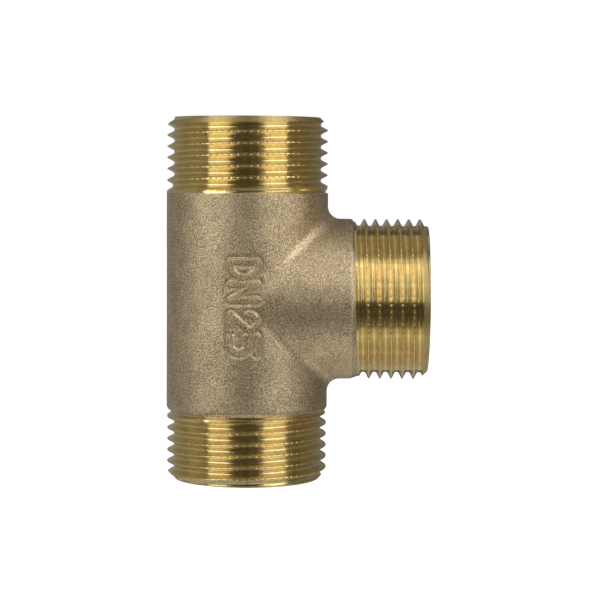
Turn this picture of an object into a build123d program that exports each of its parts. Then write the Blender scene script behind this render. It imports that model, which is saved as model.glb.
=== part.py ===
"""Equal tee pipe fitting with three G 1 male threads, sand-cast in brass and turned at its ends.

The real fitting is one piece of metal. It is written here as four solids that meet face to face:
the rough casting, and the three threaded ends that are machined on it.

Frame, in millimetres: the run lies along Z and the branch leaves along +X. The origin is the point
where the two axes cross, and a size mark stands out of the casting on the -Y side.
"""

from build123d import *
import os
from dataclasses import dataclass
from math import cos, pi, radians, sin, tan

# Thread G 1, ISO 228: eleven threads to the inch, 55 degree flanks.
PITCH = 25.4 / 11
CREST_R = 33.2 / 2
ROOT_R = 30.29 / 2
ROOT_ROUND = 0.1373 * PITCH
FLANK = radians(55 / 2)

# Tee: every arm reaches as far from the crossing point.
ARM = 37.5
BORE_R = 25.0 / 2
RIM_R = 30.0 / 2
MOUTH_CHAMFER = 0.5

# Casting: the run is a hair thicker than the branch, so that one closed edge lies between them.
RUN_R = 33.5 / 2
BRANCH_R = 33.3 / 2
CROTCH_ROUND = 2.6
CORE_RUN_R = 26.0 / 2
CORE_BRANCH_R = 25.8 / 2
CORE_ROUND = 1.2

# Edges of the casting beside the turned ends.
LOWER_EDGE_ROUND = 0.7
BRANCH_EDGE_CHAMFER = 0.15

# Turned relief between the casting and the first full crest: a ledge, and a slope up from it.
LEDGE_R = 32.1 / 2
LEDGE_RISE_L = 0.5


@dataclass
class TurnedEnd:
    """One turned end. Lengths run along its axis, and split is measured from the crossing point."""

    split: float  # where the casting stops
    shoulder_r: float  # radius of the turned metal there
    slope_l: float  # chamfer from that radius down to the ledge
    ledge_l: float
    first_crest: float  # first crest below the end face, opposite +X, or on top of the branch
    run_out_gap: float  # from the casting to the middle of the groove where the cutter leaves


UPPER = TurnedEnd(22.3, RUN_R, slope_l=0.3, ledge_l=0.2, first_crest=1.17, run_out_gap=0.3)
LOWER = TurnedEnd(23.0, 16.2, slope_l=0.2, ledge_l=0.2, first_crest=1.57, run_out_gap=0.3)
BRANCH = TurnedEnd(21.8, 16.3, slope_l=0.2, ledge_l=1.2, first_crest=1.66, run_out_gap=0.0)

# Helical cutter: it starts off the metal, and its last turn rises out of the metal.
POINTS_PER_TURN = 12
TURNS_OFF_METAL = 1.25
CUTTER_TOP = 0.2

# Size mark "DN 25": raised strokes that read downwards, with the tops of the signs towards +X.
MARK_HEIGHT = 0.35
STROKE = 1.0
SIGN_TALL = 5.2
SIGN_WIDE = 3.2
SIGN_STEP = 4.5
WORD_GAP = 1.6
MARK_CENTRE_Z = -0.8
MARK_CENTRE_X = 0.0


def upright(radius, bottom, top):
    """A cylinder about Z between two heights."""
    return Pos(0, 0, bottom) * Cylinder(
        radius, top - bottom, align=(Align.CENTER, Align.CENTER, Align.MIN)
    )


def sideways(radius, start, end):
    """A cylinder about X between two distances from the crossing point."""
    return Rot(0, 90, 0) * upright(radius, start, end)


def slanting_edges(shape):
    """The edges where the run's and the branch's round walls meet."""
    return [e for e in shape.edges() if e.geom_type not in (GeomType.LINE, GeomType.CIRCLE)]


# Casting


def outer_skin():
    """The run and the branch as one rounded form, with its edges beside the turned ends."""
    run = upright(RUN_R, -LOWER.split, UPPER.split)
    skin = run + sideways(BRANCH_R, 0, BRANCH.split)
    skin = skin.fillet(CROTCH_ROUND, slanting_edges(skin))
    lower = skin.edges().filter_by(GeomType.CIRCLE).sort_by(Axis.Z)[0]
    skin = skin.fillet(LOWER_EDGE_ROUND, [lower])
    neck = skin.edges().filter_by(GeomType.CIRCLE).sort_by(Axis.X)[-1]
    return skin.chamfer(BRANCH_EDGE_CHAMFER, None, [neck])


def waterway():
    """The cast hollow of the run and the branch, rounded where they meet."""
    hollow = upright(CORE_RUN_R, -LOWER.split - 1, UPPER.split + 1)
    hollow += sideways(CORE_BRANCH_R, 0, BRANCH.split + 1)
    return hollow.fillet(CORE_ROUND, slanting_edges(hollow))


def sign_d():
    """D: a stem and a bow."""
    bow_start = SIGN_WIDE - SIGN_TALL / 2
    bow = ThreePointArc((bow_start, 0), (SIGN_WIDE, SIGN_TALL / 2), (bow_start, SIGN_TALL))
    return [Polyline((bow_start, 0), (0, 0), (0, SIGN_TALL), (bow_start, SIGN_TALL)), bow]


def sign_n():
    """N: two stems and a diagonal."""
    return [Polyline((0, 0), (0, SIGN_TALL), (SIGN_WIDE, 0), (SIGN_WIDE, SIGN_TALL))]


def sign_2():
    """2: a hook over a slanting neck, on a foot."""
    r = SIGN_WIDE / 2
    hook = ThreePointArc((0, SIGN_TALL - r), (r, SIGN_TALL), (SIGN_WIDE, SIGN_TALL - r))
    return [hook, Polyline((SIGN_WIDE, SIGN_TALL - r), (0, 0), (SIGN_WIDE, 0))]


def sign_5():
    """5: a flag, a short neck and a belly."""
    r = SIGN_WIDE / 2
    neck_foot = 2 * r
    belly = ThreePointArc((r, neck_foot), (SIGN_WIDE, r), (r, 0))
    flag = Polyline((SIGN_WIDE, SIGN_TALL), (0, SIGN_TALL), (0, neck_foot), (r, neck_foot))
    return [flag, belly, Line((r, 0), (0, 0))]


def size_mark():
    """The raised strokes of the size mark, all as high above the skin."""
    signs = [sign_d(), sign_n(), None, sign_2(), sign_5()]
    starts, along = [], 0
    for sign in signs:
        starts.append(along)
        along += SIGN_STEP if sign else WORD_GAP
    length = along - (SIGN_STEP - SIGN_WIDE)
    strokes = Sketch()
    for start, sign in zip(starts, signs):
        for line in sign or []:
            drawn = Pos(start - length / 2, -SIGN_TALL / 2) * trace(line, STROKE)
            strokes += drawn
    plane = Plane((MARK_CENTRE_X, 0, MARK_CENTRE_Z), x_dir=(0, 0, -1), z_dir=(0, -1, 0))
    columns = extrude(plane * strokes, RUN_R + 2 * MARK_HEIGHT)
    limit = upright(RUN_R + MARK_HEIGHT, -LOWER.split, UPPER.split)
    limit += sideways(BRANCH_R + MARK_HEIGHT, 0, BRANCH.split)
    return columns & limit


def cast_body():
    """The casting with its size mark, hollowed by the waterway."""
    return outer_skin() + size_mark() - waterway()


# Machined ends


def turned_blank(end):
    """A turned end about Z before its thread is cut, from the casting to the end face."""
    ledge = end.split + end.slope_l
    rise = ledge + end.ledge_l
    outline = Polyline(
        (BORE_R, end.split),
        (end.shoulder_r, end.split),
        (LEDGE_R, ledge),
        (LEDGE_R, rise),
        (CREST_R, rise + LEDGE_RISE_L),
        (CREST_R, ARM - (CREST_R - RIM_R)),
        (RIM_R, ARM),
        (BORE_R + MOUTH_CHAMFER, ARM),
        (BORE_R, ARM - MOUTH_CHAMFER),
        close=True,
    )
    return revolve(Plane.XZ * make_face(outline), Axis.Z)


def groove_section(r, z):
    """The thread tool's outline in the XZ plane: a rounded tip at (r, z) and two straight flanks."""
    tip_r = r + ROOT_ROUND * (1 - sin(FLANK))
    tip_half = ROOT_ROUND * cos(FLANK)
    top_r = r + CREST_R - ROOT_R + CUTTER_TOP
    top_half = tip_half + (top_r - tip_r) * tan(FLANK)
    tip = ThreePointArc((tip_r, z - tip_half), (r, z), (tip_r, z + tip_half))
    flanks = Polyline(
        (tip_r, z + tip_half), (top_r, z + top_half), (top_r, z - top_half), (tip_r, z - tip_half)
    )
    return Plane.XZ * make_face([tip, flanks])


def thread_groove(end):
    """The helical cutter about Z, from off the metal down to the casting, rising in its last turn."""
    start_z = ARM - end.first_crest - PITCH / 2 + TURNS_OFF_METAL * PITCH
    steps = round((start_z - end.split - end.run_out_gap) / PITCH * POINTS_PER_TURN)
    rise = (CREST_R - ROOT_R + CUTTER_TOP) / POINTS_PER_TURN
    points = []
    for i in range(steps + 1):
        angle = -2 * pi * i / POINTS_PER_TURN
        r = ROOT_R + max(0, i + POINTS_PER_TURN - steps) * rise
        points.append((r * cos(angle), r * sin(angle), start_z - i * PITCH / POINTS_PER_TURN))
    axis_line = Edge.make_line((0, 0, start_z), (0, 0, points[-1][2]))
    cutter = sweep(groove_section(ROOT_R, start_z), path=Spline(*points), binormal=axis_line)
    return Rot(0, 0, 360 * (0.5 + TURNS_OFF_METAL)) * cutter


def threaded_end(end):
    """A turned end about Z with its thread cut."""
    return turned_blank(end) - thread_groove(end)


# Tee

TO_LOWER = Rot(180, 0, 0)
TO_BRANCH = Rot(0, 90, 0)

nodes = {
    "cast_body": cast_body(),
    "upper_threaded_end": threaded_end(UPPER),
    "lower_threaded_end": TO_LOWER * threaded_end(LOWER),
    "branch_threaded_end": TO_BRANCH * threaded_end(BRANCH),
}

os.makedirs("parts", exist_ok=True)
for name, shape in nodes.items():
    export_step(shape, f"parts/{name}.step")
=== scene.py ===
"""Looks of a cast brass pipe tee with three turned male threads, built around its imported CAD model.

Shapes are worked out in millimetres and written to Blender in metres. Each of the four CAD nodes is
replaced by one closed mesh: the rough casting, and the three turned and threaded ends. An end is worked
out about its own axis, with "along" measured from the point where the tee's axes cross.
"""

from dataclasses import dataclass
from math import cos, pi, radians, sin, tan

import bmesh
import bpy
import numpy as np
from mathutils import Matrix, Vector, noise


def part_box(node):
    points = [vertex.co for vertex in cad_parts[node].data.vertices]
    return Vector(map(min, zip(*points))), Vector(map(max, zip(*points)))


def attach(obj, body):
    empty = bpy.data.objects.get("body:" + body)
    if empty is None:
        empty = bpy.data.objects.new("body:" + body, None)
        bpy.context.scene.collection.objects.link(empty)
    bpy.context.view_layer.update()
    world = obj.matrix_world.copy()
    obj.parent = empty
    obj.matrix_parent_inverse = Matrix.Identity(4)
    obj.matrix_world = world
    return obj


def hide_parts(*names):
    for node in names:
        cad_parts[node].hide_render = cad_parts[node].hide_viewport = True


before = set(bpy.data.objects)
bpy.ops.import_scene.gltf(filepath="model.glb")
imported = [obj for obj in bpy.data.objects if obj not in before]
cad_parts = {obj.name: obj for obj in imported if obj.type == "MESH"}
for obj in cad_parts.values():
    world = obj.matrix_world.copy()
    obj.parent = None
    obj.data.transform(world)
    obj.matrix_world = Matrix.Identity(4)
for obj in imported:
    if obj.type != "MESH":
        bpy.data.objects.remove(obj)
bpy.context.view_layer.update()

MM = 0.001

# Tee, in millimetres.
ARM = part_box("upper_threaded_end")[1].z / MM
RUN_R = 33.5 / 2
BRANCH_R = 33.3 / 2
CROTCH_ROUND = 2.6
BORE_R = 25.0 / 2
MOUTH_CHAMFER = 0.5
CORE_RUN_R = 26.0 / 2
CORE_BRANCH_R = 25.8 / 2
CORE_ROUND = 1.2

# Thread G 1: a tool with a rounded tip leaves a narrow land on each crest, whose edges are worn off.
PITCH = 25.4 / 11
CREST_R = 33.2 / 2
RIM_R = 30.0 / 2
FLANK = radians(55 / 2)
CREST_HALF_LAND = 0.115
CREST_BLEND = 0.12
ROOT_ROUND = 0.495
ROOT_R = 15.18

# Small nicks along each crest. They set in over a stretch measured from the casting.
NICKS_PER_TURN = 72
NICK_DEPTH = 0.06
NICK_EDGE_SHARE = 0.35
NICK_REACH = 0.35
NICKS_FROM = (2.0, 2.8)

# Half the stretch over which cast skin turns into turned metal on a threaded end.
CAST_FADE = 0.05

# Helical mesh of a thread. Rows run along the thread, and columns along the axis.
COLUMNS_PER_NICK = 8
COLUMNS = NICKS_PER_TURN * COLUMNS_PER_NICK
ROOT_ROWS = 8
CREST_ROWS = 4
FLANK_ROWS = (0.33, 0.67)
CREASE_STEPS = 14
CUT_DEPTH = 1e-6
BORE_COLUMNS = 144

# Edges of the casting beside the turned ends: where each starts, how long it is and how far it drops.
LOWER_EDGE = (22.3, 0.7, 0.45)
NECK_EDGE = (21.4, 0.4, 0.15)

# Casting's mesh and relief.
SKIN_VOXEL = 0.3
CORE_VOXEL = 0.9
TUBE_SEGMENTS = 256
OVERRUN = 1.5
ON_PLANE = 1e-3
GRAIN_HEIGHT = 0.008
GRAIN_SUNK = 0.01
GRAIN_SIZES = ((0.7, 1.0), (5.0, 0.8))  # size of each wave and its share

# Edges that bend more than this many degrees are drawn sharp.
CAST_SHARP = 45
TURNED_SHARP = 28

# Height of the materials' fine relief, in metres.
BUMP = 0.00012

# Materials' patterns, in cells to the metre, or to the radian for the streaks.
CLOUD_CELLS = 220
SPECKLE_CELLS = 4300
SAND_CELLS = 3500
LINE_CELLS = 5000
BLOTCH_CELLS = 500
STREAK_CELLS = 14
CLOUD_SHARE = 0.15
LINE_HEIGHT = 0.1

# Farther than any place on the tee.
FAR = 1e3

# Size mark "DN 25": raised strokes that read downwards, with the tops of the signs towards +X.
MARK_HEIGHT = 0.35
MARK_FOOT = 0.15
STROKE = 1.2
STROKE_EDGE = 0.16
MARK_REFINED = 0.35
SIGN_TALL = 5.2
SIGN_WIDE = 3.2
SIGN_STEP = 4.5
WORD_GAP = 1.6
MARK_CENTRE_Z = -0.8
MARK_CENTRE_X = 0.0


def smooth_step(low, high, value):
    """0 below low, 1 above high, and smooth between them."""
    t = np.clip((value - low) / (high - low), 0, 1)
    return t * t * (3 - 2 * t)


def grain(points):
    """Relief of the sand mould at world points in millimetres, sunk until it stays in the metal."""
    relief = np.zeros(len(points))
    for size, share in GRAIN_SIZES:
        scaled = points / size
        relief += share * np.array([noise.noise(Vector(p)) for p in scaled])
    return GRAIN_HEIGHT * relief - GRAIN_SUNK


# Mesh helpers


def ring(bm, radius, along, count=BORE_COLUMNS):
    """A circle of new vertices about the local Z axis."""
    angles = np.linspace(0, 2 * pi, count, endpoint=False)
    return [bm.verts.new((radius * cos(t), radius * sin(t), along)) for t in angles]


def zip_rings(bm, first, second, across=0, up=1):
    """Triangles between two rings of different counts, matched by their angle in one plane."""

    def by_angle(verts):
        angle = [np.arctan2(v.co[up], v.co[across]) % (2 * pi) for v in verts]
        order = np.argsort(angle)
        return [(angle[i], verts[i]) for i in order]

    a, b = by_angle(first), by_angle(second)
    i = j = 0
    while i < len(a) or j < len(b):
        angle_i = a[i + 1][0] if i + 1 < len(a) else a[(i + 1) % len(a)][0] + 2 * pi
        angle_j = b[j + 1][0] if j + 1 < len(b) else b[(j + 1) % len(b)][0] + 2 * pi
        here_a, here_b = a[i % len(a)][1], b[j % len(b)][1]
        if j >= len(b) or (i < len(a) and angle_i <= angle_j):
            bm.faces.new((here_a, a[(i + 1) % len(a)][1], here_b))
            i += 1
        else:
            bm.faces.new((here_a, b[(j + 1) % len(b)][1], here_b))
            j += 1


def cut_off(bm, point, outward):
    """Removes what lies beyond a plane and returns the open edge's vertices on it."""
    whole = bm.verts[:] + bm.edges[:] + bm.faces[:]
    bmesh.ops.bisect_plane(
        bm, geom=whole, dist=1e-5, plane_co=point, plane_no=outward, clear_outer=True
    )
    plane = Vector(outward)
    on_it = set()
    for edge in bm.edges:
        if edge.is_boundary:
            for vert in edge.verts:
                if abs((vert.co - Vector(point)).dot(plane)) < ON_PLANE:
                    on_it.add(vert)
    return sorted(on_it, key=lambda v: v.index)


def finished_object(bm, name, node, sharp_angle):
    """Turns a closed mesh in world millimetres into a smooth-shaded piece that replaces a CAD node."""
    bmesh.ops.recalc_face_normals(bm, faces=bm.faces[:])
    bmesh.ops.scale(bm, vec=(MM, MM, MM), verts=bm.verts[:])
    for face in bm.faces:
        face.smooth = True
    mesh = bpy.data.meshes.new(name)
    bm.to_mesh(mesh)
    bm.free()
    mesh.set_sharp_from_angle(angle=radians(sharp_angle))
    piece = bpy.data.objects.new(name, mesh)
    bpy.context.scene.collection.objects.link(piece)
    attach(piece, "root")
    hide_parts(node)
    return piece


# Turned and threaded ends


@dataclass
class TurnedEnd:
    """One turned end about its own axis: outward is +Z here, and to_world turns it into place."""

    name: str
    node: str
    to_world: Matrix
    split: float  # where the casting's mesh stops
    first_crest: float  # first crest below the end face, at the angle of 180 degrees
    blank: tuple  # (along, radius) of the turned metal from the casting to the first full crest
    cast_until: float  # cast skin reaches up to here beside the turned metal
    cast_tilt: float  # and by this much more at the angle of 0, but no more at 180 degrees
    run_out: tuple  # (along, share of the full depth) of the groove where the tool leaves


UPPER = TurnedEnd(
    name="upper_end_turned",
    node="upper_threaded_end",
    to_world=Matrix.Identity(3),
    split=21.9,
    first_crest=1.46,
    blank=((21.9, RUN_R), (22.4, 16.66), (22.45, 16.4), (22.9, CREST_R)),
    cast_until=0,
    cast_tilt=0,
    run_out=((21.4, 0), (22.05, 0.2), (23.2, 0.75), (24.36, 1)),
)
LOWER = TurnedEnd(
    name="lower_end_turned",
    node="lower_threaded_end",
    to_world=Matrix.Rotation(pi, 3, "X"),
    split=23.0,
    first_crest=1.22,
    blank=((23.0, 16.3), (23.3, 16.0), (23.45, 16.0), (23.85, CREST_R)),
    cast_until=23.25,
    cast_tilt=0,
    run_out=((22.2, 0), (22.65, 0.1), (23.8, 0.6), (24.95, 1)),
)
BRANCH = TurnedEnd(
    name="branch_end_turned",
    node="branch_threaded_end",
    to_world=Matrix.Rotation(pi / 2, 3, "Y"),
    split=21.8,
    first_crest=1.66,
    blank=((21.8, 16.5), (22.1, 16.05), (23.3, 16.05), (23.75, CREST_R)),
    cast_until=22.1,
    cast_tilt=1.1,
    run_out=((22.01, 0), (23.17, 1)),
)


def tool_radius(offset):
    """Radius that the thread tool leaves at an offset from the middle of its groove."""
    v = np.abs(offset)
    tangent = ROOT_ROUND * cos(FLANK)
    in_round = np.minimum(v, tangent)
    round_r = ROOT_R + ROOT_ROUND - np.sqrt(ROOT_ROUND**2 - in_round**2)
    return round_r + np.maximum(0, v - tangent) / tan(FLANK)


def blended_low(first, second):
    """The lower of two radii, rounded off where they are nearly equal."""
    share = np.clip(1 - np.abs(first - second) / CREST_BLEND, 0, 1)
    return np.minimum(first, second) - share**2 * CREST_BLEND / 4


def cast_edge(end, angle):
    """How far along the axis the cast skin reaches at an angle."""
    return end.cast_until + end.cast_tilt * ((1 + np.cos(angle)) / 2) ** 2


def blank_radius(end, angle, along):
    """Radius of the turned metal with no thread: shoulder, ledge, crest and the chamfer at the end face."""
    places, radii = zip(*end.blank)
    shift = cast_edge(end, angle) - end.cast_until
    slope_share = np.clip((along - places[0]) / (places[1] + shift - places[0]), 0, 1)
    slope = radii[0] + slope_share * (radii[1] - radii[0])
    rise = np.interp(along, places[2:], radii[2:])
    shoulder = np.where(along < np.maximum(places[1] + shift, places[2]), slope, rise)
    return np.minimum(shoulder, RIM_R + ARM - along)


def thread_radius(end, angle, along):
    """Radius of the threaded end at an angle and a place along the axis."""
    groove_at = ARM - end.first_crest - PITCH / 2 + PITCH * (angle - pi) / (2 * pi)
    nearest = np.round((along - groove_at) / PITCH)
    radius = blank_radius(end, angle, along)
    places, shares = zip(*end.run_out)
    for turn in (nearest - 1, nearest, nearest + 1):
        middle = groove_at + turn * PITCH
        lift = (CREST_R - ROOT_R) * (1 - np.interp(middle, places, shares))
        radius = blended_low(radius, tool_radius(along - middle) + lift)
    return radius


def crest_nicks(end, along, column, radius):
    """Depth of the nicks along the full crests, which get shallower down the flanks."""
    depth = np.zeros_like(radius)
    share = np.clip((radius - CREST_R + NICK_REACH) / NICK_REACH, 0, 1)
    share *= smooth_step(NICKS_FROM[0], NICKS_FROM[1], along - end.split)
    depth[:, column % COLUMNS_PER_NICK == 0] = NICK_DEPTH
    depth[:, column % COLUMNS_PER_NICK == 1] = NICK_EDGE_SHARE * NICK_DEPTH
    return depth * share


def rows_of_one_pitch():
    """Places of the mesh rows around a crest and its groove, measured from the crest's middle."""
    steepest = pi / 2 - FLANK
    root = PITCH / 2 + ROOT_ROUND * np.sin(np.linspace(-steepest, steepest, ROOT_ROWS))
    flank_top = CREST_HALF_LAND + CREST_BLEND / 2
    flank = np.array(FLANK_ROWS) * (root[0] - flank_top) + flank_top
    crest = np.linspace(CREST_HALF_LAND - CREST_BLEND / 2, flank_top, CREST_ROWS)
    return np.sort(np.concatenate([-crest, crest, flank, root, PITCH - flank]))


def crossings(end, angle, along):
    """Moves mesh rows on to the edges where the groove starts to cut into the blank."""
    low = along[:-1].copy()
    high = along[1:].copy()
    where = np.broadcast_to(angle, low.shape)

    def is_cut(place):
        return thread_radius(end, where, place) - blank_radius(end, where, place) < -CUT_DEPTH

    low_cut = is_cut(low)
    high_cut = is_cut(high)
    changes = low_cut != high_cut
    for _ in range(CREASE_STEPS):
        middle = (low + high) / 2
        same = is_cut(middle) == low_cut
        low = np.where(same, middle, low)
        high = np.where(same, high, middle)
    crease = (low + high) / 2
    to_low = changes & (crease - along[:-1] < along[1:] - crease)
    to_high = changes & ~to_low
    moved = along.copy()
    moved[:-1] = np.where(to_low, crease, moved[:-1])
    moved[1:] = np.where(to_high, crease, moved[1:])
    return moved


def snapped(along, place):
    """Moves the nearest mesh row in each column on to a place along the axis."""
    nearest = np.argmin(np.abs(along - place), axis=0)
    moved = along.copy()
    moved[nearest, np.arange(along.shape[1])] = place
    return moved


def threaded_mesh(end):
    """The helical skin of one threaded end, running past the casting and the end face, where close_end cuts
    it square.
    """
    pattern = rows_of_one_pitch()
    per_pitch = len(pattern)
    turns = int((ARM - end.split) / PITCH) + 4
    crest = ARM - end.first_crest - PITCH / 2 + 2 * PITCH
    starts = crest - PITCH * np.arange(turns, 0, -1)
    rows = (starts[:, None] + pattern[None, :]).ravel()
    column = np.arange(COLUMNS + 1)
    angle = 2 * pi * column / COLUMNS
    along = rows[:, None] + PITCH * angle[None, :] / (2 * pi)
    along = crossings(end, angle[None, :], along)
    for place, _ in end.blank[1:3]:
        along = snapped(along, place)
    turned = np.broadcast_to(angle, along.shape)
    radius = thread_radius(end, turned, along)
    radius -= crest_nicks(end, along, column, radius)
    bm = bmesh.new()
    count = len(rows)
    verts = [
        [
            bm.verts.new((radius[j, i] * cos(angle[i]), radius[j, i] * sin(angle[i]), along[j, i]))
            for i in range(COLUMNS)
        ]
        for j in range(count)
    ]

    def vert(j, i):
        return verts[j][i] if i < COLUMNS else verts[j + per_pitch][0]

    for i in range(COLUMNS):
        last = count - 1 if i + 1 < COLUMNS else count - 1 - per_pitch
        for j in range(last):
            bm.faces.new((vert(j, i), vert(j, i + 1), vert(j + 1, i + 1), vert(j + 1, i)))
    return bm


def close_end(bm, end):
    """Cuts the skin to length and closes it with the end faces, the mouth's chamfer and the bore."""
    outer_top = cut_off(bm, (0, 0, ARM), (0, 0, 1))
    outer_foot = cut_off(bm, (0, 0, end.split), (0, 0, -1))
    mouth = ring(bm, BORE_R + MOUTH_CHAMFER, ARM)
    bore_top = ring(bm, BORE_R, ARM - MOUTH_CHAMFER)
    bore_foot = ring(bm, BORE_R, end.split)
    for first, second in (
        (outer_top, mouth),
        (mouth, bore_top),
        (bore_top, bore_foot),
        (bore_foot, outer_foot),
    ):
        zip_rings(bm, first, second)


def turned_end(end):
    """One threaded end as a finished piece. Vertex layers say where it is cast skin or the chamfer."""
    bm = threaded_mesh(end)
    close_end(bm, end)
    cast_layer = bm.verts.layers.float.new("cast_share")
    faced_layer = bm.verts.layers.float.new("faced_share")
    bm.verts.ensure_lookup_table()
    local = np.array([v.co for v in bm.verts])
    radial = np.hypot(local[:, 0], local[:, 1])
    angle = np.arctan2(local[:, 1], local[:, 0])
    edge = cast_edge(end, angle)
    blank = blank_radius(end, angle, local[:, 2])
    chamfer_from = ARM - (CREST_R - RIM_R) + 0.02
    faced = (np.abs(radial - blank) < 0.01) & (local[:, 2] > chamfer_from)
    is_cast = 1 - smooth_step(edge - CAST_FADE, edge + CAST_FADE, local[:, 2])
    cast = np.where(radial > BORE_R + 1, is_cast, 0)
    turn = np.array(end.to_world)
    relief = grain(local @ turn.T) * cast
    local[:, :2] *= (1 + relief / np.maximum(radial, 1))[:, None]
    world = local @ turn.T
    for vert, place, cast_value, faced_value in zip(bm.verts, world, cast, faced):
        vert.co = place
        vert[cast_layer] = cast_value
        vert[faced_layer] = float(faced_value)
    return finished_object(bm, end.name, end.node, TURNED_SHARP)


# Casting

# Planes where the casting meets the turned ends: axis, and place along it.
CUTS = ((2, UPPER.split), (2, -LOWER.split), (0, BRANCH.split))


def run_radius(z):
    """Radius of the run's rough skin, which rounds off beside the lower thread."""
    start, length, drop = LOWER_EDGE
    edge = np.clip((-z - start) / length, 0, 1)
    return RUN_R - drop * edge**2


def neck_radius(x):
    """Radius of the branch's rough skin, which rounds off slightly beside its thread."""
    start, length, drop = NECK_EDGE
    edge = np.clip((x - start) / length, 0, 1)
    return BRANCH_R - drop * edge**2


def blended(points, run_r, neck_r, round_r):
    """Signed distance to run and branch joined by a rolling-ball round, positive outside."""
    x, y, z = points.T
    run_axis = np.maximum(np.hypot(x, y), 1e-6)
    neck_axis = np.maximum(np.hypot(y, z), 1e-6)
    a = run_axis - run_r
    b = np.where(x > 0, neck_axis - neck_r, FAR)
    c = y * y / (run_axis * neck_axis)
    spread = np.maximum(1 - c * c, 1e-9)
    in_round = ((a - round_r) < c * (b - round_r)) & ((b - round_r) < c * (a - round_r))
    square = ((a - round_r) ** 2 + (b - round_r) ** 2 - 2 * c * (a - round_r) * (b - round_r)) / spread
    rounded = round_r - np.sqrt(np.maximum(square, 0))
    return np.where(in_round, rounded, np.minimum(a, b))


def outer_distance(points):
    """Signed distance to the rough skin."""
    return blended(points, run_radius(points[:, 2]), neck_radius(points[:, 0]), CROTCH_ROUND)


def inner_distance(points):
    """Signed distance to the wall of the cast chamber."""
    return blended(points, CORE_RUN_R, CORE_BRANCH_R, CORE_ROUND)


def surface_normals(points, distance, step=0.02):
    """Directions in which a signed distance grows."""
    slopes = []
    for axis in range(3):
        shift = np.zeros(3)
        shift[axis] = step
        slopes.append(distance(points + shift) - distance(points - shift))
    slopes = np.array(slopes).T
    return slopes / np.maximum(np.linalg.norm(slopes, axis=1), 1e-9)[:, None]


def settle(bm, distance, passes=5):
    """Moves a mesh's vertices on to the surface where a signed distance is zero."""
    points = np.array([v.co for v in bm.verts])
    for _ in range(passes):
        points -= surface_normals(points, distance) * distance(points)[:, None]
    for vert, place in zip(bm.verts, points):
        vert.co = place


def rough_tee(run_r, branch_r, voxel):
    """Run and branch as one evenly meshed form that runs past the three planes where it is cut."""
    bm = bmesh.new()
    run_length = UPPER.split + LOWER.split + 2 * OVERRUN
    run_place = Matrix.Translation((0, 0, (UPPER.split - LOWER.split) / 2))
    reach = BRANCH.split + OVERRUN
    branch_place = Matrix.Translation((reach / 2, 0, 0)) @ Matrix.Rotation(pi / 2, 4, "Y")
    for radius, depth, place in ((run_r, run_length, run_place), (branch_r, reach, branch_place)):
        bmesh.ops.create_cone(
            bm,
            cap_ends=True,
            segments=TUBE_SEGMENTS,
            radius1=radius,
            radius2=radius,
            depth=depth,
            matrix=place,
        )
    mesh = bpy.data.meshes.new("rough_tee")
    bm.to_mesh(mesh)
    bm.free()
    solid = bpy.data.objects.new("rough_tee", mesh)
    bpy.context.scene.collection.objects.link(solid)
    remesh = solid.modifiers.new("even", "REMESH")
    remesh.mode = "VOXEL"
    remesh.voxel_size = voxel
    even = solid.evaluated_get(bpy.context.evaluated_depsgraph_get()).to_mesh()
    bm = bmesh.new()
    bm.from_mesh(even)
    bpy.data.objects.remove(solid)
    return bm


def cut_tee(bm):
    """Cuts the rough tee at its three planes and returns the open edges."""
    edges = []
    for axis, place in CUTS:
        point = [0, 0, 0]
        outward = [0, 0, 0]
        point[axis] = place
        outward[axis] = 1 if place > 0 else -1
        edges.append(cut_off(bm, point, outward))
    return edges


def distance_to_line(p, start, end):
    """Distance in the plane from points to a straight stroke."""
    start, end = np.array(start, float), np.array(end, float)
    along = end - start
    t = np.clip((p - start) @ along / (along @ along), 0, 1)
    return np.linalg.norm(p - start - t[:, None] * along, axis=1)


def distance_to_arc(p, centre, radius, start, end):
    """Distance in the plane from points to a stroke along an arc between two angles in degrees."""
    offset = p - np.array(centre)
    angle = np.degrees(np.arctan2(offset[:, 1], offset[:, 0]))
    within = ((angle - start) % 360) <= (end - start)
    on_arc = np.abs(np.linalg.norm(offset, axis=1) - radius)
    tips = [
        np.array(centre) + radius * np.array([cos(radians(t)), sin(radians(t))]) for t in (start, end)
    ]
    to_tips = np.minimum(*[np.linalg.norm(p - tip, axis=1) for tip in tips])
    return np.where(within, on_arc, to_tips)


def sign_d(p):
    """D: a stem and a bow."""
    r = SIGN_TALL / 2
    bow_x = SIGN_WIDE - r
    return [
        distance_to_line(p, (0, 0), (0, SIGN_TALL)),
        distance_to_line(p, (0, 0), (bow_x, 0)),
        distance_to_line(p, (0, SIGN_TALL), (bow_x, SIGN_TALL)),
        distance_to_arc(p, (bow_x, r), r, -90, 90),
    ]


def sign_n(p):
    """N: two stems and a diagonal."""
    return [
        distance_to_line(p, (0, 0), (0, SIGN_TALL)),
        distance_to_line(p, (0, SIGN_TALL), (SIGN_WIDE, 0)),
        distance_to_line(p, (SIGN_WIDE, 0), (SIGN_WIDE, SIGN_TALL)),
    ]


def sign_2(p):
    """2: a hook over a slanting neck, on a foot."""
    r = SIGN_WIDE / 2
    return [
        distance_to_arc(p, (r, SIGN_TALL - r), r, 0, 180),
        distance_to_line(p, (SIGN_WIDE, SIGN_TALL - r), (0, 0)),
        distance_to_line(p, (0, 0), (SIGN_WIDE, 0)),
    ]


def sign_5(p):
    """5: a flag, a short neck and a belly."""
    r = SIGN_WIDE / 2
    return [
        distance_to_line(p, (0, SIGN_TALL), (SIGN_WIDE, SIGN_TALL)),
        distance_to_line(p, (0, SIGN_TALL), (0, 2 * r)),
        distance_to_line(p, (0, 2 * r), (r, 2 * r)),
        distance_to_arc(p, (r, r), r, -90, 90),
        distance_to_line(p, (r, 0), (0, 0)),
    ]


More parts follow.
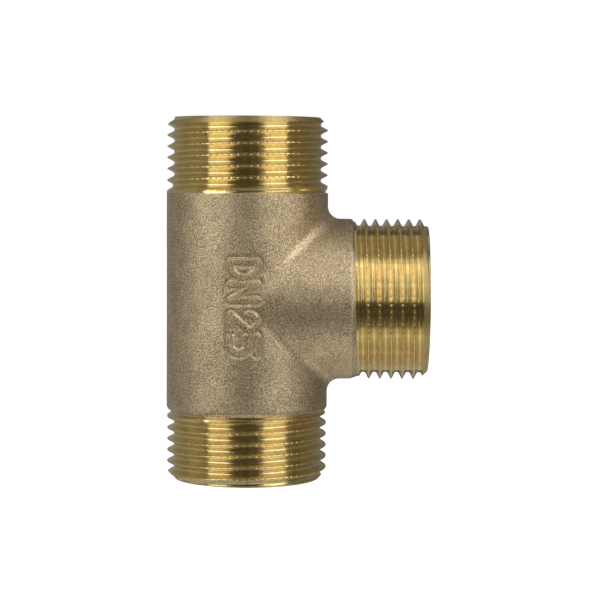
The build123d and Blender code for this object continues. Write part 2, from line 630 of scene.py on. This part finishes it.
def mark_distance(points):
    """Distance from points on the front of the casting to the nearest stroke's middle line."""
    signs = [sign_d, sign_n, None, sign_2, sign_5]
    starts, reach = [], 0
    for sign in signs:
        starts.append(reach)
        reach += SIGN_STEP if sign else WORD_GAP
    length = reach - (SIGN_STEP - SIGN_WIDE)
    reading = MARK_CENTRE_Z - points[:, 2] + length / 2
    upward = points[:, 0] - MARK_CENTRE_X + SIGN_TALL / 2
    nearest = np.full(len(points), FAR)
    for start, sign in zip(starts, signs):
        if sign:
            page = np.stack([reading - start, upward], axis=1)
            nearest = np.minimum(nearest, np.min(sign(page), axis=0))
    return np.where(points[:, 1] < 0, nearest, FAR)


def refine_mark(bm):
    """Adds vertices along the edges of the raised strokes."""
    bm.verts.ensure_lookup_table()
    points = np.array([v.co for v in bm.verts])
    near = np.abs(mark_distance(points) - STROKE / 2) < STROKE_EDGE + MARK_REFINED
    band = {v for v, inside in zip(bm.verts, near) if inside}
    edges = [e for e in bm.edges if e.verts[0] in band and e.verts[1] in band]
    bmesh.ops.subdivide_edges(bm, edges=edges, cuts=2, use_grid_fill=True)


def raise_relief(bm):
    """Raises the size mark and the grain from the settled skin, within the planes where it is cut."""
    points = np.array([v.co for v in bm.verts])
    normals = surface_normals(points, outer_distance)
    beside = mark_distance(points) - STROKE / 2
    stroke = 1 - smooth_step(-STROKE_EDGE, STROKE_EDGE, beside)
    foot = np.exp(-(((beside - 2 * STROKE_EDGE) / (1.5 * STROKE_EDGE)) ** 2))
    height = MARK_HEIGHT * stroke - MARK_FOOT * foot + grain(points)
    for axis, place in CUTS:
        normals[np.abs(points[:, axis] - place) < ON_PLANE, axis] = 0
    for vert, place, normal, rise in zip(bm.verts, points, normals, height):
        vert.co = place + normal * rise


def add_chamber(bm):
    """Adds the wall of the cast chamber to the skin's mesh and returns its three open edges."""
    chamber = rough_tee(CORE_RUN_R, CORE_BRANCH_R, CORE_VOXEL)
    settle(chamber, inner_distance)
    cut_tee(chamber)
    inside = bpy.data.meshes.new("chamber")
    chamber.to_mesh(inside)
    chamber.free()
    skin = set(bm.verts)
    bm.from_mesh(inside)
    fresh = [v for v in bm.verts if v not in skin and any(e.is_boundary for e in v.link_edges)]
    return [[v for v in fresh if abs(v.co[axis] - place) < ON_PLANE] for axis, place in CUTS]


def cast_skin():
    """The rough casting as a finished piece."""
    bm = rough_tee(RUN_R, BRANCH_R, SKIN_VOXEL)
    settle(bm, outer_distance)
    refine_mark(bm)
    settle(bm, outer_distance)
    outer = cut_tee(bm)
    raise_relief(bm)
    inner = add_chamber(bm)
    for outside, within, plane in zip(outer, inner, ((0, 1), (0, 1), (1, 2))):
        zip_rings(bm, outside, within, *plane)
    return finished_object(bm, "cast_body_skin", "cast_body", CAST_SHARP)


# Materials


@dataclass
class Nodes:
    """A material's node tree with short calls for adding nodes and links."""

    tree: bpy.types.NodeTree

    def add(self, kind, **values):
        """A new node with its properties set."""
        node = self.tree.nodes.new(kind)
        for name, value in values.items():
            setattr(node, name, value)
        return node

    def link(self, source, target):
        """Joins an output to an input."""
        self.tree.links.new(source, target)

    def feed(self, sockets, values):
        """Gives each input its value: a plain one, or another node's output."""
        for socket, value in zip(sockets, values):
            if isinstance(value, (int, float, tuple)):
                socket.default_value = value
            else:
                self.link(value, socket)

    def maths(self, operation, first, second):
        """Two values put through one operation."""
        node = self.add("ShaderNodeMath", operation=operation)
        self.feed(node.inputs, (first, second))
        return node.outputs[0]

    def mix_colour(self, share, first, second):
        """A colour between two others."""
        node = self.add("ShaderNodeMix", data_type="RGBA")
        self.feed((node.inputs[0], node.inputs[6], node.inputs[7]), (share, first, second))
        return node.outputs[2]

    def mix_value(self, share, first, second):
        """A value between two others."""
        node = self.add("ShaderNodeMix", data_type="FLOAT")
        self.feed((node.inputs[0], node.inputs[2], node.inputs[3]), (share, first, second))
        return node.outputs[0]

    def noise(self, place, scale, detail, roughness=0.5, dimensions="3D"):
        """Smooth random values at a number of cells to the metre."""
        node = self.add("ShaderNodeTexNoise", noise_dimensions=dimensions)
        self.link(place, node.inputs["W" if dimensions == "1D" else "Vector"])
        node.inputs["Scale"].default_value = scale
        node.inputs["Detail"].default_value = detail
        node.inputs["Roughness"].default_value = roughness
        return node.outputs["Fac"]

    def ramp(self, value, low, high):
        """0 below low, 1 above high, and smooth between them."""
        node = self.add("ShaderNodeMapRange", interpolation_type="SMOOTHSTEP")
        self.link(value, node.inputs[0])
        node.inputs[1].default_value = low
        node.inputs[2].default_value = high
        return node.outputs[0]

    def bump(self, height):
        """Normals tilted by a fine relief."""
        node = self.add("ShaderNodeBump")
        node.inputs["Strength"].default_value = 1.0
        node.inputs["Distance"].default_value = BUMP
        self.link(height, node.inputs["Height"])
        return node.outputs[0]


def new_material(name):
    """A material with one Principled shader, and its tree."""
    material = bpy.data.materials.new(name)
    material.use_nodes = True
    nodes = Nodes(material.node_tree)
    shader = material.node_tree.nodes["Principled BSDF"]
    shader.inputs["Metallic"].default_value = 1.0
    return material, nodes, shader


CAST_ROUGHNESS = (0.39, 0.29)
THREAD_ROUGHNESS = (0.19, 0.27)
CHAMFER_ROUGHNESS = 0.72
CAST_LIGHT = (1.0, 0.80, 0.51, 1)
CAST_DARK = (0.37, 0.275, 0.155, 1)
TURNED_YELLOW = (0.86, 0.74, 0.36, 1)
TURNED_RED = (0.80, 0.60, 0.30, 1)


def cast_look(nodes, place):
    """Colour, roughness and relief of blasted sand-cast brass."""
    cloudy = nodes.ramp(nodes.noise(place, CLOUD_CELLS, 3), 0.35, 0.65)
    grains = nodes.ramp(nodes.noise(place, SPECKLE_CELLS, 2), 0.41, 0.61)
    clouds = nodes.maths("MULTIPLY", cloudy, CLOUD_SHARE)
    tone = nodes.maths("ADD", clouds, nodes.maths("MULTIPLY", grains, 1 - CLOUD_SHARE))
    colour = nodes.mix_colour(tone, CAST_DARK, CAST_LIGHT)
    rough = nodes.mix_value(grains, *CAST_ROUGHNESS)
    return colour, rough, nodes.noise(place, SAND_CELLS, 3, 0.65)


def cast_brass():
    """Dull, grainy casting."""
    material, nodes, shader = new_material("cast_brass")
    place = nodes.add("ShaderNodeTexCoord").outputs["Object"]
    colour, rough, height = cast_look(nodes, place)
    nodes.link(colour, shader.inputs["Base Color"])
    nodes.link(rough, shader.inputs["Roughness"])
    nodes.link(nodes.bump(height), shader.inputs["Normal"])
    return material


def turned_brass(end):
    """Bright brass with fine turning lines about an end's axis, and cast skin beside it."""
    material, nodes, shader = new_material("turned_brass_" + end.node)
    place = nodes.add("ShaderNodeTexCoord").outputs["Object"]
    split_place = nodes.add("ShaderNodeSeparateXYZ")
    nodes.link(place, split_place.inputs[0])
    axis = "X" if end is BRANCH else "Z"
    along = split_place.outputs[axis]
    across = [split_place.outputs[a] for a in "XYZ" if a != axis]
    angle = nodes.maths("ARCTAN2", *across)
    lines = nodes.noise(along, LINE_CELLS, 3, 0.7, "1D")
    streaks = nodes.noise(angle, STREAK_CELLS, 4, 0.6, "1D")
    blotches = nodes.noise(place, BLOTCH_CELLS, 3)
    half_streaks = nodes.maths("MULTIPLY", streaks, 0.5)
    tone = nodes.maths("ADD", half_streaks, nodes.maths("MULTIPLY", blotches, 0.5))
    colour = nodes.mix_colour(nodes.ramp(tone, 0.35, 0.65), TURNED_RED, TURNED_YELLOW)
    faced = nodes.add("ShaderNodeAttribute", attribute_name="faced_share").outputs["Fac"]
    rough = nodes.mix_value(faced, nodes.mix_value(lines, *THREAD_ROUGHNESS), CHAMFER_ROUGHNESS)
    cast_colour, cast_rough, cast_height = cast_look(nodes, place)
    cast = nodes.add("ShaderNodeAttribute", attribute_name="cast_share").outputs["Fac"]
    nodes.link(nodes.mix_colour(cast, colour, cast_colour), shader.inputs["Base Color"])
    nodes.link(nodes.mix_value(cast, rough, cast_rough), shader.inputs["Roughness"])
    turned_height = nodes.maths("MULTIPLY", lines, LINE_HEIGHT)
    height = nodes.mix_value(cast, turned_height, cast_height)
    nodes.link(nodes.bump(height), shader.inputs["Normal"])
    shader.inputs["Anisotropic"].default_value = 1.0
    shader.inputs["Anisotropic Rotation"].default_value = 0.25
    tangent = nodes.add("ShaderNodeTangent", direction_type="RADIAL", axis=axis)
    nodes.link(tangent.outputs[0], shader.inputs["Tangent"])
    return material


# Studio


FLOOR_HALF = 6
FLOOR_GAP = 0.0002


def plain_white():
    """A floor so brightly lit that it reads as plain white."""
    material = bpy.data.materials.new("white_floor")
    material.use_nodes = True
    shader = material.node_tree.nodes["Principled BSDF"]
    shader.inputs["Base Color"].default_value = (0.9, 0.9, 0.9, 1)
    shader.inputs["Roughness"].default_value = 0.9
    shader.inputs["Emission Color"].default_value = (1, 1, 1, 1)
    shader.inputs["Emission Strength"].default_value = 1.0
    return material


def floor():
    """A wide pale floor under the tee. The metal doesn't mirror it, as if it ended just below."""
    bm = bmesh.new()
    bmesh.ops.create_grid(bm, x_segments=8, y_segments=8, size=FLOOR_HALF)
    mesh = bpy.data.meshes.new("floor")
    bm.to_mesh(mesh)
    bm.free()
    mesh.materials.append(plain_white())
    piece = bpy.data.objects.new("floor", mesh)
    piece.location.z = -ARM * MM - FLOOR_GAP
    piece.visible_glossy = False
    piece.visible_shadow = False
    bpy.context.scene.collection.objects.link(piece)


def direction(azimuth, elevation):
    """Unit vector at an azimuth from -Y towards +X and an elevation, in degrees."""
    a, e = radians(azimuth), radians(elevation)
    return Vector((sin(a) * cos(e), -cos(a) * cos(e), sin(e)))


# Soft lights: name, azimuth, elevation, width and height in degrees, distance in metres, and radiance.
SOFTBOXES = (
    ("left_softbox", -45, 29, 35, 58, 0.6, 2.1),
    ("right_softbox", 48, 29, 37, 60, 0.6, 2.1),
    ("left_fill", -120, 10, 110, 80, 0.7, 0.22),
    ("right_fill", 120, 10, 110, 80, 0.7, 0.12),
    ("top_fill", 180, 85, 60, 60, 0.6, 0.3),
    ("low_fill", 0, -68, 60, 48, 0.5, 0.45),
    ("low_left_fill", -75, -40, 60, 50, 0.6, 0.25),
    ("low_right_fill", 52, -44, 44, 34, 0.6, 0.5),
    ("low_back_fill", 180, -60, 80, 60, 0.5, 0.4),
)


def softbox(name, azimuth, elevation, wide, tall, distance, radiance):
    """A soft light that spans the given angles as seen from the tee. The distance is in metres."""
    light = bpy.data.lights.new(name, "AREA")
    light.shape = "RECTANGLE"
    light.size = 2 * distance * tan(radians(wide / 2))
    light.size_y = 2 * distance * tan(radians(tall / 2))
    light.energy = radiance * pi * light.size * light.size_y
    lamp = bpy.data.objects.new(name, light)
    lamp.location = direction(azimuth, elevation) * distance
    lamp.rotation_euler = direction(azimuth, elevation).to_track_quat("Z", "Y").to_euler()
    lamp.visible_camera = False
    bpy.context.scene.collection.objects.link(lamp)


def studio_world():
    """White behind everything, and a dim room for the metal to mirror."""
    dim = (0.06, 0.06, 0.06, 1)
    world = bpy.data.worlds.new("studio")
    world.use_nodes = True
    nodes = Nodes(world.node_tree)
    room = world.node_tree.nodes["Background"]
    room.inputs["Color"].default_value = dim
    room.inputs["Strength"].default_value = 1.0
    white = nodes.add("ShaderNodeBackground")
    white.inputs["Color"].default_value = (1, 1, 1, 1)
    seen = nodes.add("ShaderNodeLightPath").outputs["Is Camera Ray"]
    mix = nodes.add("ShaderNodeMixShader")
    nodes.link(seen, mix.inputs[0])
    nodes.link(room.outputs[0], mix.inputs[1])
    nodes.link(white.outputs[0], mix.inputs[2])
    nodes.link(mix.outputs[0], world.node_tree.nodes["World Output"].inputs[0])
    bpy.context.scene.world = world


def lights():
    """Two large softboxes beside the camera, and weak fill lights beside, above, behind and below."""
    for row in SOFTBOXES:
        softbox(*row)


# Camera: what it looks at and how far away that is in millimetres, its turns in degrees, and its lens.
CAMERA_TARGET = (11.02, 0, -0.33)
CAMERA_DISTANCE = 417.96
CAMERA_YAW = -0.677
CAMERA_PITCH = 3.692
CAMERA_ROLL = 0.327
CAMERA_LENS = 120.4
CAMERA_SENSOR = 36


def camera():
    """A long lens, a little above the tee and turned slightly."""
    yaw = radians(CAMERA_YAW)
    pitch = radians(CAMERA_PITCH)
    roll = radians(CAMERA_ROLL)
    forward = Vector((sin(yaw) * cos(pitch), cos(yaw) * cos(pitch), -sin(pitch)))
    right = Vector((cos(yaw), -sin(yaw), 0))
    up = right.cross(forward)
    rolled_right = cos(roll) * right + sin(roll) * up
    rolled_up = -sin(roll) * right + cos(roll) * up
    data = bpy.data.cameras.new("camera")
    data.sensor_width = CAMERA_SENSOR
    data.lens = CAMERA_LENS
    data.clip_start = 0.01
    eye = bpy.data.objects.new("camera", data)
    place = Vector(CAMERA_TARGET) * MM - forward * CAMERA_DISTANCE * MM
    axes = Matrix((rolled_right, rolled_up, -forward)).transposed().to_4x4()
    eye.matrix_world = Matrix.Translation(place) @ axes
    bpy.context.scene.collection.objects.link(eye)
    bpy.context.scene.camera = eye


casting = cast_skin()
casting.data.materials.append(cast_brass())
for turned in (UPPER, LOWER, BRANCH):
    piece = turned_end(turned)
    piece.data.materials.append(turned_brass(turned))

floor()
studio_world()
lights()
camera()
bpy.context.scene.view_settings.view_transform = "Standard"
